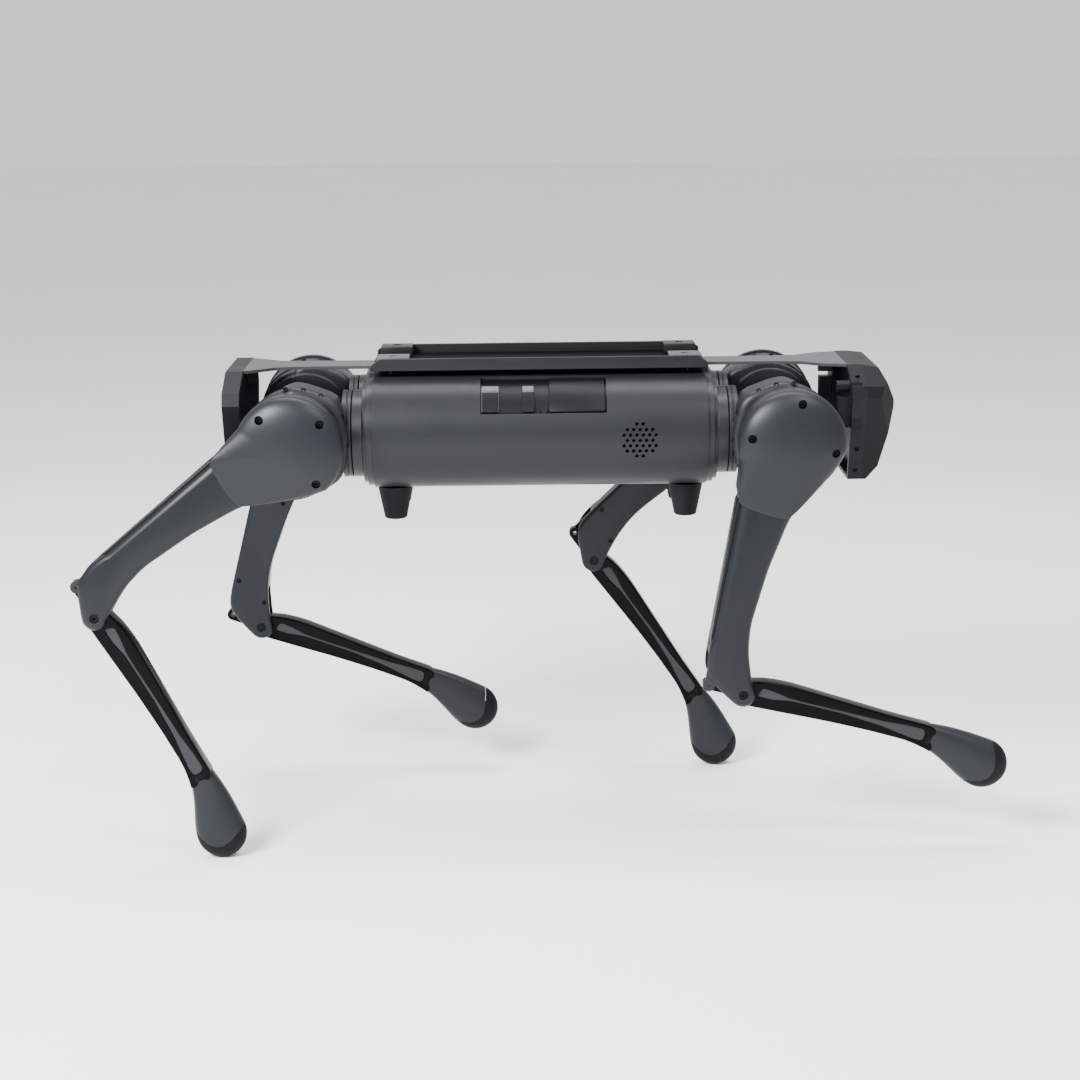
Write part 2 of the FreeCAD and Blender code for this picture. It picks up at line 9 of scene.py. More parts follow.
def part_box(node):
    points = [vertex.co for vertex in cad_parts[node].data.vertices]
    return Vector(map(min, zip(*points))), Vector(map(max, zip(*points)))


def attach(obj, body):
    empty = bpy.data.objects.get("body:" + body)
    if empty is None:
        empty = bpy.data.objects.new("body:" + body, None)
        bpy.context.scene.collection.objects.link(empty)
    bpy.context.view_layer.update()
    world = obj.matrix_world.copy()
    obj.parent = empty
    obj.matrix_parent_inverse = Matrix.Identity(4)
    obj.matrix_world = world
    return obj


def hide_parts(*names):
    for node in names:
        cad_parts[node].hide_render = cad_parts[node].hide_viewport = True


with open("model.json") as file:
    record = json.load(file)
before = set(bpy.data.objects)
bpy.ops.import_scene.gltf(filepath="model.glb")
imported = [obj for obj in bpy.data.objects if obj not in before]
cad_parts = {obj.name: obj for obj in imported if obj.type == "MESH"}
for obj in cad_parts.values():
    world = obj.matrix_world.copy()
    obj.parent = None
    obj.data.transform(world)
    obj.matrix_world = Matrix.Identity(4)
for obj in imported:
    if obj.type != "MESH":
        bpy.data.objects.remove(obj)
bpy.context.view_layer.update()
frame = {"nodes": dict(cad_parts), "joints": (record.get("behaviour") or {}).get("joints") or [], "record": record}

# Looks of the quadruped robot. Local leg shapes are drawn in millimetres, with the leg
# hanging straight down: X forward, Y outward from the leg's middle plane, Z up.

MM = 0.001
LEGS = ("front_right", "front_left", "rear_right", "rear_left")
JOINTS = {j["name"]: j for j in frame["joints"]}
THIGH = 250.0
KNEE_FOLDED = -150.0         # the knee's lowest angle from straight, degrees
AXIS_Z = JOINTS["front_left_hip_pitch"]["pos_m"][2]

# ---------------------------------------------------------------- mesh helpers


def new_object(name, mesh):
    obj = bpy.data.objects.new(name, mesh)
    bpy.context.scene.collection.objects.link(obj)
    return obj


def from_bmesh(name, bm, smooth_angle=35.0):
    bmesh.ops.recalc_face_normals(bm, faces=bm.faces)
    mesh = bpy.data.meshes.new(name)
    bm.to_mesh(mesh)
    bm.free()
    shade(mesh, smooth_angle)
    return new_object(name, mesh)


def shade(mesh, angle):
    mesh.polygons.foreach_set("use_smooth", [True] * len(mesh.polygons))
    mesh.set_sharp_from_angle(angle=math.radians(angle))


def loft(name, rings, smooth_angle=35.0):
    """Skin closed rings of equal length into one solid with flat ends."""
    bm = bmesh.new()
    loops = [[bm.verts.new(p) for p in ring] for ring in rings]
    for a, b in zip(loops, loops[1:]):
        for i in range(len(a)):
            k = (i + 1) % len(a)
            bm.faces.new((a[i], a[k], b[k], b[i]))
    bm.faces.new(loops[0])
    bm.faces.new(list(reversed(loops[-1])))
    return from_bmesh(name, bm, smooth_angle)


def slab(name, outline, y0, y1, bevels=(), smooth_angle=35.0):
    """Extrude a side-view outline along Y, then round its rims: bevels holds (y, width)."""
    bm = bmesh.new()
    low = [bm.verts.new((x, y0, z)) for x, z in outline]
    high = [bm.verts.new((x, y1, z)) for x, z in outline]
    bm.faces.new(low)
    bm.faces.new(list(reversed(high)))
    for i in range(len(low)):
        k = (i + 1) % len(low)
        bm.faces.new((low[i], low[k], high[k], high[i]))
    bmesh.ops.recalc_face_normals(bm, faces=bm.faces)
    for y, width in bevels:
        rim = [e for e in bm.edges if all(abs(v.co.y - y) < 1e-4 for v in e.verts)]
        bmesh.ops.bevel(
            bm, geom=rim, offset=width, segments=6, profile=0.5, affect="EDGES", clamp_overlap=True
        )
    return from_bmesh(name, bm, smooth_angle)


def cylinder(name, middle, r, y0, y1, sides=48):
    cx, cz = middle
    turn = [2 * math.pi * i / sides for i in range(sides)]
    outline = [(cx + r * math.cos(a), cz + r * math.sin(a)) for a in turn]
    return slab(name, outline, y0, y1)


def baked(obj):
    """Apply the object's modifiers to its mesh."""
    graph = bpy.context.evaluated_depsgraph_get()
    mesh = bpy.data.meshes.new_from_object(obj.evaluated_get(graph))
    obj.modifiers.clear()
    obj.data = mesh
    return obj


def carve(obj, tools, operation="DIFFERENCE", smooth_angle=35.0):
    """Cut or intersect obj with each tool, and discard the tools."""
    for tool in tools:
        mod = obj.modifiers.new("carve", "BOOLEAN")
        mod.operation = operation
        mod.solver = "EXACT"
        mod.object = tool
    bpy.context.view_layer.update()
    baked(obj)
    for tool in tools:
        bpy.data.objects.remove(tool)
    shade(obj.data, smooth_angle)
    return obj


def joined(name, objs):
    """One object from several, keeping their shading."""
    bm = bmesh.new()
    for obj in objs:
        bm.from_mesh(obj.data)
        bpy.data.objects.remove(obj)
    mesh = bpy.data.meshes.new(name)
    bm.to_mesh(mesh)
    bm.free()
    shade(mesh, 35.0)
    return new_object(name, mesh)


def smooth_line(points, steps):
    """Points along a Catmull-Rom curve through the given ones."""
    out = []
    padded = [points[0]] + list(points) + [points[-1]]
    for i in range(1, len(padded) - 2):
        p = [Vector(padded[i + k]) for k in (-1, 0, 1, 2)]
        for n in range(steps):
            t = n / steps
            a = 2 * p[1] + (p[2] - p[0]) * t
            b = (2 * p[0] - 5 * p[1] + 4 * p[2] - p[3]) * t * t
            c = (3 * p[1] - p[0] - 3 * p[2] + p[3]) * t * t * t
            out.append((a + b + c) / 2)
    out.append(Vector(points[-1]))
    return out


def lookup(points, x):
    """Smooth value at x of a table of (x, value)."""
    if x <= points[0][0]:
        return points[0][1]
    for (x0, y0), (x1, y1) in zip(points, points[1:]):
        if x <= x1:
            t = (x - x0) / (x1 - x0)
            return y0 + (y1 - y0) * t * t * (3 - 2 * t)
    return points[-1][1]


# ---------------------------------------------------------------- materials


class Nodes:
    """Short calls for building one material's node tree."""

    def __init__(self, name):
        self.material = bpy.data.materials.new(name)
        self.material.use_nodes = True
        self.tree = self.material.node_tree
        self.shader = self.tree.nodes["Principled BSDF"]
        self.coords = self.add("ShaderNodeTexCoord").outputs["Object"]

    def add(self, kind, **values):
        node = self.tree.nodes.new(kind)
        for key, value in values.items():
            setattr(node, key, value)
        return node

    def link(self, a, b):
        self.tree.links.new(a, b)

    def noise(self, scale, detail=3.0, stretch=None):
        node = self.add("ShaderNodeTexNoise")
        node.inputs["Scale"].default_value = scale
        node.inputs["Detail"].default_value = detail
        source = self.coords
        if stretch:
            mapping = self.add("ShaderNodeMapping")
            mapping.inputs["Scale"].default_value = stretch
            self.link(self.coords, mapping.inputs["Vector"])
            source = mapping.outputs["Vector"]
        self.link(source, node.inputs["Vector"])
        return node.outputs["Fac"]

    def ramp(self, value, stops):
        node = self.add("ShaderNodeValToRGB")
        ramp = node.color_ramp
        while len(ramp.elements) < len(stops):
            ramp.elements.new(0.5)
        for element, (place, shade_of) in zip(ramp.elements, stops):
            element.position = place
            element.color = shade_of if len(shade_of) == 4 else (*shade_of, 1.0)
        self.link(value, node.inputs["Fac"])
        return node.outputs["Color"]

    def mix(self, amount, a, b, mode="MIX"):
        node = self.add("ShaderNodeMix", data_type="RGBA", blend_type=mode)
        for socket, value in ((0, amount), (6, a), (7, b)):
            if isinstance(value, (int, float)):
                node.inputs[socket].default_value = value
            elif isinstance(value, tuple):
                node.inputs[socket].default_value = (*value, 1.0)[:4]
            else:
                self.link(value, node.inputs[socket])
        return node.outputs[2]

    def span(self, value, low, high):
        node = self.add("ShaderNodeMapRange")
        self.link(value, node.inputs["Value"])
        node.inputs["To Min"].default_value = low
        node.inputs["To Max"].default_value = high
        return node.outputs["Result"]

    def edges(self, radius):
        """White along convex and concave edges, from the rounded normal."""
        bevel = self.add("ShaderNodeBevel", samples=4)
        bevel.inputs["Radius"].default_value = radius
        geometry = self.add("ShaderNodeNewGeometry")
        dot = self.add("ShaderNodeVectorMath", operation="DOT_PRODUCT")
        self.link(bevel.outputs["Normal"], dot.inputs[0])
        self.link(geometry.outputs["Normal"], dot.inputs[1])
        return self.ramp(dot.outputs["Value"], [(0.90, (1, 1, 1)), (0.995, (0, 0, 0))])

    def bump(self, height, strength, distance, under=None):
        node = self.add("ShaderNodeBump")
        node.inputs["Strength"].default_value = strength
        node.inputs["Distance"].default_value = distance
        self.link(height, node.inputs["Height"])
        if under is not None:
            self.link(under, node.inputs["Normal"])
        return node.outputs["Normal"]


def coat(name, colour, rough, metallic=0.0, grain=1400.0, grain_depth=0.35, wear=0.25, spread=0.12,
         gloss_coat=0.0, specular=0.5, bevel=0.0006, streak=None):
    """A moulded or painted surface: fine grain, mottled colour and gloss, polished edges."""
    n = Nodes(name)
    mottle = n.noise(9.0, 5.0)
    dark = tuple(c * (1 - spread) for c in colour)
    light = tuple(min(1.0, c * (1 + spread)) for c in colour)
    base = n.ramp(mottle, [(0.3, dark), (0.7, light)])
    fleck = n.noise(420.0, 6.0)
    base = n.mix(n.ramp(fleck, [(0.45, (0, 0, 0)), (0.75, (0.22, 0.22, 0.22))]), base, light)
    worn = n.edges(bevel * 1.6)
    edge_noise = n.noise(160.0, 4.0)
    mask = n.mix(1.0, worn, n.ramp(edge_noise, [(0.35, (0, 0, 0)), (0.65, (1, 1, 1))]), "MULTIPLY")
    bright = tuple(min(1.0, c * 1.9 + 0.02) for c in colour)
    scaled = n.mix(1.0, mask, (wear, wear, wear), "MULTIPLY")
    base = n.mix(scaled, base, bright)
    n.link(base, n.shader.inputs["Base Color"])
    smear = n.noise(26.0, 6.0, streak)
    n.link(n.span(smear, rough - 0.07, rough + 0.09), n.shader.inputs["Roughness"])
    n.shader.inputs["Metallic"].default_value = metallic
    n.shader.inputs["Specular IOR Level"].default_value = specular
    n.shader.inputs["Coat Weight"].default_value = gloss_coat
    n.shader.inputs["Coat Roughness"].default_value = 0.08
    rounding = n.add("ShaderNodeBevel", samples=4)
    rounding.inputs["Radius"].default_value = bevel
    fine = n.noise(grain, 2.0)
    first = n.bump(fine, grain_depth, 0.00006, rounding.outputs["Normal"])
    wavy = n.noise(70.0, 2.0)
    n.link(n.bump(wavy, 0.10, 0.0002, first), n.shader.inputs["Normal"])
    return n.material


def brushed(name, colour, rough, along=(1.0, 1.0, 60.0)):
    """Machined metal with fine directional scratches."""
    n = Nodes(name)
    lines = n.noise(160.0, 4.0, along)
    n.link(
        n.ramp(lines, [(0.3, tuple(c * 0.8 for c in colour)), (0.7, colour)]),
        n.shader.inputs["Base Color"],
    )
    n.shader.inputs["Metallic"].default_value = 1.0
    n.link(n.span(lines, rough - 0.08, rough + 0.12), n.shader.inputs["Roughness"])
    rounding = n.add("ShaderNodeBevel", samples=4)
    rounding.inputs["Radius"].default_value = 0.0003
    n.link(n.bump(lines, 0.15, 0.00004, rounding.outputs["Normal"]), n.shader.inputs["Normal"])
    return n.material


MATERIALS = {
    "trunk_paint": coat("trunk_paint", (0.0145, 0.0161, 0.0190), 0.38, 0.2, wear=0.3, spread=0.05,
                        specular=0.16),
    "cap_metal": coat("cap_metal", (0.0138, 0.0153, 0.0178), 0.35, 0.3, wear=0.5, spread=0.06,
                      specular=0.26),
    "housing_metal": coat("housing_metal", (0.0105, 0.0118, 0.0138), 0.40, 0.2, wear=0.5,
                          specular=0.25),
    "dark_drive": coat("dark_drive", (0.005, 0.005, 0.006), 0.36, 0.3, specular=0.3),
    "cover_shell": coat("cover_shell", (0.0064, 0.0084, 0.0110), 0.40, wear=0.3, spread=0.05,
                        specular=0.26),
    "thigh_shell": coat("thigh_shell", (0.0050, 0.0066, 0.0090), 0.36, wear=0.35, spread=0.06,
                        specular=0.22),
    "shin_black": coat("shin_black", (0.0008, 0.0009, 0.0011), 0.20, grain_depth=0.08, wear=0.25,
                       specular=0.05, gloss_coat=0.02),
    "shin_strip": coat("shin_strip", (0.012, 0.014, 0.017), 0.36, wear=0.3, specular=0.3),
    "sock_shell": coat("sock_shell", (0.0100, 0.0120, 0.0145), 0.38, wear=0.3, specular=0.20),
    "rubber_black": coat("rubber_black", (0.0030, 0.0035, 0.0042), 0.62, grain=700.0, grain_depth=0.7,
                         wear=0.5, specular=0.12),
    "deck_floor": coat("deck_floor", (0.0010, 0.0012, 0.0014), 0.5, 0.1, streak=(1, 8, 8),
                       specular=0.03),
    "deck_metal": coat("deck_metal", (0.0095, 0.0108, 0.0125), 0.36, 0.2, streak=(1, 8, 8),
                       specular=0.22),
    "pad_metal": coat("pad_metal", (0.055, 0.057, 0.060), 0.36, 0.3, specular=0.35),
    "strap_metal": coat("strap_metal", (0.040, 0.043, 0.047), 0.34, 0.3, streak=(1, 8, 8),
                        specular=0.4),
    "frame_shell": coat("frame_shell", (0.0048, 0.0058, 0.0070), 0.42, wear=0.4, specular=0.13),
    "nose_shell": coat("nose_shell", (0.0026, 0.0030, 0.0036), 0.42, wear=0.35, specular=0.13),
    "window_gloss": coat("window_gloss", (0.001, 0.001, 0.0012), 0.08, grain_depth=0.03,
                         gloss_coat=0.4, wear=0.1, specular=0.3),
    "port_plastic": coat("port_plastic", (0.0022, 0.0027, 0.0038), 0.42, specular=0.14),
    "port_light": coat("port_light", (0.060, 0.063, 0.070), 0.42, specular=0.3),
    "screw_steel": brushed("screw_steel", (0.012, 0.012, 0.014), 0.38),
    "rod_steel": brushed("rod_steel", (0.035, 0.037, 0.041), 0.34),
    "battery_case": coat("battery_case", (0.006, 0.006, 0.007), 0.5, specular=0.2),
}


def dress(obj, material):
    obj.data.materials.clear()
    obj.data.materials.append(MATERIALS[material])
    return obj

# ---------------------------------------------------------------- legs: where they stand


def leg_places(leg):
    """Matrices from a leg's own millimetres to the scene, for its hip, thigh and calf."""
    hip = Vector(JOINTS[leg + "_hip_pitch"]["pos_m"])
    knee = Vector(JOINTS[leg + "_knee"]["pos_m"])
    pitch = math.atan2(hip.x - knee.x, hip.z - knee.z)
    bend = math.radians(KNEE_FOLDED - JOINTS[leg + "_knee"]["range_deg"][0])
    side = 1.0 if hip.y > 0 else -1.0
    flip = Matrix.Diagonal((1.0, side, 1.0, 1.0))
    to_hip = Matrix.Translation(hip) @ Matrix.Scale(MM, 4) @ flip
    to_thigh = to_hip @ Matrix.Rotation(pitch, 4, "Y")
    down = Matrix.Translation((0.0, 0.0, -THIGH))
    to_calf = to_thigh @ down @ Matrix.Rotation(bend, 4, "Y")
    return {"hip": to_hip, "thigh": to_thigh, "calf": to_calf}


def placed(obj, matrix, body):
    """Move a piece's mesh into the scene, facing outward, and ride it on a body."""
    obj.data.transform(matrix)
    if matrix.determinant() < 0:
        obj.data.flip_normals()
    obj.data.update()
    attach(obj, body)
    return obj


def side_view(points):
    """From (down the leg, to the back) to (x, z)."""
    return [(-v, -u) for u, v in points]


def calf_view(points):
    """From (down the shin, to the front) to (x, z)."""
    return [(s, -t) for t, s in points]


def arc(cu, cv, r, start, end, steps):
    turn = [math.radians(start + (end - start) * i / steps) for i in range(steps + 1)]
    return [(cu + r * math.cos(a), cv + r * math.sin(a)) for a in turn]


def softened(points, rounds=2, reach=9.0):
    """A closed outline with its corners cut twice, no further than reach from each."""
    for _ in range(rounds):
        out = []
        for i, p in enumerate(points):
            q = points[(i + 1) % len(points)]
            gap = math.hypot(q[0] - p[0], q[1] - p[1])
            share = min(0.25, reach / gap) if gap > 0 else 0.25
            out.append((p[0] + (q[0] - p[0]) * share, p[1] + (q[1] - p[1]) * share))
            out.append((q[0] + (p[0] - q[0]) * share, q[1] + (p[1] - q[1]) * share))
        points = out
        reach /= 2
    return points


# ---------------------------------------------------------------- legs: thigh

THIGH_IN = -24.0
KNEE_IN = -17.0
KNEE_OUT = 17.0
KNEE_END = arc(250, 0, 13.0, 40, -88, 6)
FRONT_EDGE = [(237, -6.0), (208, 3.0), (181, 6.0), (123, 0.0), (75, -9.4)]
BACK_INNER = [(50, 42.0), (224, 41.0), (237, 38.0), (246, 29.0), (255, 16.0)]
BACK_OUTER = [(50, 38.2), (198, 38.2), (206, 40.8), (224, 40.6), (237, 37.5), (246, 29.0), (255, 16.0)]
SLOT_VIEW = [(-1, 39.4), (214, 39.4), (232, 60), (275, 60), (275, -30), (214, -30), (206, 8),
             (181, 10), (120, 4), (40, -6), (-1, -6)]
EDGE_SCREWS = [(110.0, 35.0), (110.0, 7.0), (205.0, 35.0), (222.0, 3.0)]
KNEE_BORE = 5.0
THIGH_MIDDLE = [(50, 13.0), (75, 14.4), (123, 19.0), (181, 22.0), (208, 21.0), (237, 14.0),
                (255, 6.0), (263, 0.0)]      # middle line: down the leg, to the back
BAND = ((0.5, 0.0), (12.8, 0.0), (15.0, 0.3), (16.6, 0.75), (KNEE_OUT, 1.0))    # height, share drawn in
BAND_ACROSS = 0.3            # how far the outer face is drawn in, as shares of the outline
BAND_ALONG = 0.06
BAND_CENTRE = -150.0


def slot_tool(y0, y1):
    return slab("slot", side_view(SLOT_VIEW), y0, y1)


def round_hole(u, v, r, y0, y1, sides=40):
    return cylinder("hole", (-v, -u), r, y0, y1, sides)


def thigh_inner_look():
    arm = slab("arm", softened(side_view(BACK_INNER + KNEE_END + FRONT_EDGE + [(56, -16)])),
               KNEE_IN, -0.2, [(KNEE_IN, 3.5)])
    tools = [slot_tool(-11, 1), round_hole(THIGH, 0, KNEE_BORE, -20, 1)]
    for u, v in EDGE_SCREWS:
        tools.append(round_hole(u, v, 2.6, KNEE_IN - 1, KNEE_IN + 2.2, 24))
    arm = carve(arm, tools)
    hub = slab("hub", side_view(arc(0, 0, 50, 0, 360 - 5, 71)), THIGH_IN, -9, [(THIGH_IN, 2.5)])
    root = slab("root", softened(side_view([(6, 46), (66, 42), (80, -9), (62, -17), (24, -45)])),
                -20, -9, [(-20, 2.5)])
    shoulder = slab("shoulder", side_view(arc(0, 0, 50, 30, 330, 60) + [(30, -36), (64, -13), (64, 41)]),
                    -9.3, -0.2)
    shoulder = carve(shoulder, [round_hole(0, 0, 44, -10, 1)])
    axle = cylinder("axle", (0, 0), 10.0, -44, THIGH_IN + 1)
    return joined("thigh_inner", [arm, hub, root, shoulder, axle])


def thigh_outer_look():
    """The outer half, with a broad slanted band running round its outer face."""
    line = softened(side_view(BACK_OUTER + KNEE_END + FRONT_EDGE + [(56, -16)]), 2, 5.0)
    rings = []
    for y, drawn_in in BAND:
        across, along = 1 - BAND_ACROSS * drawn_in, 1 - BAND_ALONG * drawn_in
        ring = []
        for x, z in line:
            middle = -lookup(THIGH_MIDDLE, -z)
            ring.append((middle + (x - middle) * across, y, BAND_CENTRE + (z - BAND_CENTRE) * along))
        rings.append(ring)
    tools = [slot_tool(-1, 11), round_hole(THIGH, 0, 4.6, KNEE_OUT - 4, KNEE_OUT + 1),
             round_hole(THIGH, 0, KNEE_BORE, -1, KNEE_OUT - 3.9)]
    return carve(loft("arm", rings, 50.0), tools, smooth_angle=50.0)


def seam_look():
    """The seam strip that shows between the two halves along the thigh's back edge."""
    line = side_view([(58, 41.2), (200, 41.2), (207, 40.0), (204, 36.0), (58, 36.0)])
    return slab("seam", softened(line, 1, 2.0), 0.2, 7.0, [(7.0, 0.8)])


def edge_screws_look():
    """Screws in the inner half's edge holes."""
    heads = []
    for u, v in EDGE_SCREWS:
        head = cylinder("head", (-v, -u), 2.35, KNEE_IN + 0.7, KNEE_IN + 2.3, 24)
        heads.append(carve(head, [cylinder("socket", (-v, -u), 1.1, KNEE_IN, KNEE_IN + 1.7, 6)]))
    return joined("edge_screws", heads)


# ---------------------------------------------------------------- legs: lid over the drive

LID_R = 52.0
LID_TAIL = [(13, -46.3), (26, -39.0), (50, -23.5), (64, -13.8), (70, -8.0), (71.5, 1.0),
            (69.5, 18.0), (66, 34.0), (62, 41.2), (52, 43.0), (37, 45.0)]
LID_MIDDLE = (4.0, 2.0)
LID_TOP = 25.9
LID_SCREWS = [(-40.5, 0.0), (0.0, 40.5), (0.0, -40.5)]
DOME_STEPS = 26
DOME_SHARE = 0.82            # powers that set how full the dome is
DOME_LIFT = 0.92


def lid_rim(u):
    """Height of the lid's edge: low round the drive, flush with the thigh at their seam."""
    return lookup([(0.0, 8.0), (72.0, 17.4)], u)


def lid_crown(u):
    """Height of the dome along the leg."""
    return lookup([(-4.0, LID_TOP), (76.0, 19.4)], u)


def lid_look():
    """The domed lid, hollow over the drive, with its screw wells."""
    outline = arc(0, 0, LID_R, 64, 268, 60)
    tail = smooth_line([(x, y, 0) for x, y in [outline[-1]] + LID_TAIL + [outline[0]]], 4)
    outline += [(p.x, p.y) for p in tail[1:-1]]
    cu, cv = LID_MIDDLE
    rings = [[(-v, 0.4, -u) for u, v in outline], [(-v, lid_rim(u), -u) for u, v in outline]]
    for n in range(1, DOME_STEPS):
        a = math.pi / 2 * n / DOME_STEPS
        share = math.cos(a) ** DOME_SHARE
        lift = math.sin(a) ** DOME_LIFT
        ring = []
        for u, v in outline:
            pu = cu + share * (u - cu)
            pv = cv + share * (v - cv)
            ring.append((-pv, lid_rim(u) + (lid_crown(pu) - lid_rim(u)) * lift, -pu))
        rings.append(ring)
    lid = loft("lid", rings, 60.0)
    wells = [round_hole(u, v, 4.2, 12.0, 40.0) for u, v in LID_SCREWS]
    under = [round_hole(0, 0, 44, -1, 8.6), round_hole(0, 0, 33.3, 8, 20.0)]
    line = side_view([(58, 42.2), (110, 42.2), (110, -12), (75, -9.8), (60, -15)])
    under.append(slab("thigh_room", line, -1, KNEE_OUT + 0.15))
    return carve(lid, wells + under, smooth_angle=40.0)


# ---------------------------------------------------------------- legs: shin and foot

SHIN_LINE = [(-2, 12.0), (6, 13.5), (18, 17.5), (40, 20.5), (148, 21.0), (196, 23.0), (196, -3.5),
             (190, -1.5), (170, 1.5), (130, 0.0), (89, -3.0), (45, -7.5), (10, -11.0), (-2, -11.5)]
STRIP = [(14, 0.5), (17, 11), (30, 10.5), (46, 8.6), (62, 9.2), (100, 11.8), (141, 14.2),
         (165, 17.2), (182, 18.2), (185, 12), (184, 5.5), (176, 4.6), (155, 6.4), (141, 8.0),
         (100, 8.6), (62, 6.6), (46, 5.4), (30, 1.5)]
NOTCH = [(184.5, 17.5), (190, 15.5), (192.5, 9.5), (190.5, 4.0), (185.0, 5.5)]
FOOT = [  # down the shin, back edge, front edge, half width
    (189.0, -1.2, 22.6, 9.3), (197.0, -3.8, 23.8, 9.9), (206.0, -7.3, 24.8, 10.8),
    (215.0, -11.6, 25.4, 12.0), (224.0, -16.2, 25.6, 13.3), (232.0, -20.2, 25.5, 14.4),
    (240.0, -23.2, 25.3, 15.3), (247.0, -24.8, 25.0, 15.9), (253.0, -24.8, 24.8, 15.9),
    (259.0, -23.3, 23.3, 15.2), (264.0, -20.6, 20.6, 13.8), (268.5, -16.8, 16.8, 11.6),
    (272.0, -11.8, 11.8, 8.6), (274.2, -6.3, 6.3, 4.8), (274.9, -2.0, 2.0, 1.6)]
SOLE = [(228, -30), (231, -21.0), (243, -18.5), (252, -15.0), (258.5, -9.0), (260.5, -1.0),
        (259.0, 8.0), (255.5, 17.0), (250, 30), (290, 30), (290, -30)]
FOOT_SIDES = 72
FOOT_STEPS = 3               # rings between two rows of FOOT
LEVER = 34.0                 # from the knee to the push rod's pin
LEVER_TURN = 176.0
LEVER_R = 6.2
SHIN_HALF = 9.5


def shin_look():
    """The shin with its knee eye, side grooves and the lever that the push rod moves."""
    line = softened(calf_view(SHIN_LINE), 2, 6.0)
    body = slab("shin", line, -SHIN_HALF, SHIN_HALF, [(-SHIN_HALF, 3.6), (SHIN_HALF, 3.6)], 50.0)
    eye = cylinder("eye", (0, 0), 12.0, -SHIN_HALF, 3.0)
    eye_top = cylinder("eye_top", (0, 0), 9.5, 2.9, SHIN_HALF)
    turn = math.radians(LEVER_TURN)
    tip = (LEVER * math.cos(turn), LEVER * math.sin(turn))
    normal = (-math.sin(turn) * LEVER_R, math.cos(turn) * LEVER_R)
    round_end = [(tip[0] + LEVER_R * math.cos(turn + math.radians(a)),
                  tip[1] + LEVER_R * math.sin(turn + math.radians(a))) for a in range(90, -91, -12)]
    line = [normal] + round_end + [(-normal[0], -normal[1])]
    lever = slab("lever", side_view(line), -2.5, 2.5)
    lever = carve(lever, [round_hole(tip[0], tip[1], 3.1, -4, 4)])
    tools = []
    for y0, y1 in ((-10.5, -7.6), (7.6, 10.5)):
        tools.append(slab("strip", softened(calf_view(STRIP), 1, 2.0), y0, y1))
        tools.append(slab("notch", softened(calf_view(NOTCH), 1, 2.0), y0 * 0.9, y1 * 0.9))
    tools.append(round_hole(0, 0, 5.05, -12, 12))
    body = carve(body, [eye, eye_top], "UNION", 50.0)
    body = carve(body, tools, smooth_angle=50.0)
    return joined("shin", [body, lever])


def strip_look():
    """Grey webs lying in the grooves of the shin's two sides."""
    line = softened(calf_view(STRIP), 1, 2.0)
    cx = sum(p[0] for p in line) / len(line)
    line = [(cx + (x - cx) * 0.96, z) for x, z in line]
    return joined("web", [
        slab("web_in", line, -8.6, -7.7, [(-8.6, 0.4)]),
        slab("web_out", line, 7.7, 8.6, [(8.6, 0.4)])])


def foot_body():
    """The whole foot, lofted through smoothed sections that go from boxy to round."""
    rings = []
    dense = []
    for a, b in zip(FOOT, FOOT[1:]):
        for n in range(FOOT_STEPS):
            dense.append(tuple(a[k] + (b[k] - a[k]) * n / FOOT_STEPS for k in range(4)))
    dense.append(FOOT[-1])
    smooth = [Vector(p) for p in dense]
    for _ in range(3):
        inner = [(a + 2 * b + c) / 4 for a, b, c in zip(smooth, smooth[1:], smooth[2:])]
        smooth = [smooth[0]] + inner + [smooth[-1]]
    for t, back, front, wide in smooth:
        mid = (back + front) / 2
        half = (front - back) / 2
        power = lookup([(189.0, 0.62), (225.0, 0.80), (250.0, 0.92), (275.0, 1.0)], t)
        ring = []
        for i in range(FOOT_SIDES):
            a = 2 * math.pi * i / FOOT_SIDES
            c, s = math.cos(a), math.sin(a)
            x = mid + half * math.copysign(abs(c) ** power, c)
            y = wide * math.copysign(abs(s) ** power, s)
            ring.append((x, y, -t))
        rings.append(ring)
    return loft("foot", rings, 60.0)


def sole_region(grow):
    """The space of the sole, grown up the shin by grow."""
    line = [(t - grow, s) if i < 9 else (t, s) for i, (t, s) in enumerate(SOLE)]
    return slab("sole_region", calf_view(line), -40, 40)


def foot_looks():
    """The foot's shell and its rubber sole, cut from one body."""
    sock = carve(foot_body(), [sole_region(0.5)], smooth_angle=50.0)
    sole = carve(foot_body(), [sole_region(0.0)], "INTERSECT", 50.0)
    return sock, sole


# ---------------------------------------------------------------- legs: hip housing

HOUSING_IN = -76.0
HOUSING_OUT = -30.0
ROLL_LOCAL = -83.0           # roll axis, from the leg's plane
SWELL_R = 54.0               # casing's swell towards the trunk
NECK_X = 46.8                # the neck's end, and half its height
NECK_Z = 40.0
RIM_SCREW_TURNS = (-6, 13, 32, 64, 94, 116, 138)
FLATS = ((20.7, 49.5, 20.7), (49.5, 78.3, 78.3))    # from, to and facing of the swell's straight runs


def rim_screws(fore):
    """Small dark screws let into the rounded rim of the casing, on the trunk's side."""
    heads = []
    for turn in RIM_SCREW_TURNS:
        facing = next((f for low, high, f in FLATS if low < turn < high), turn)
        slide = -fore * SWELL_R * math.tan(math.radians(turn - facing))
        head = cylinder("head", (0, 0), 2.5, -1.4, 0.4, 20)
        head = carve(head, [cylinder("socket", (0, 0), 1.3, -0.6, 1.0, 6)])
        tilt = Matrix.Rotation(math.radians(38), 4, "X")
        out = Matrix.Translation((slide, HOUSING_OUT - 5.3, 52.3)) @ tilt
        head.data.transform(Matrix.Rotation(math.radians(-fore * facing), 4, "Y") @ out)
        heads.append(head)
    return joined("rim_screws", heads)


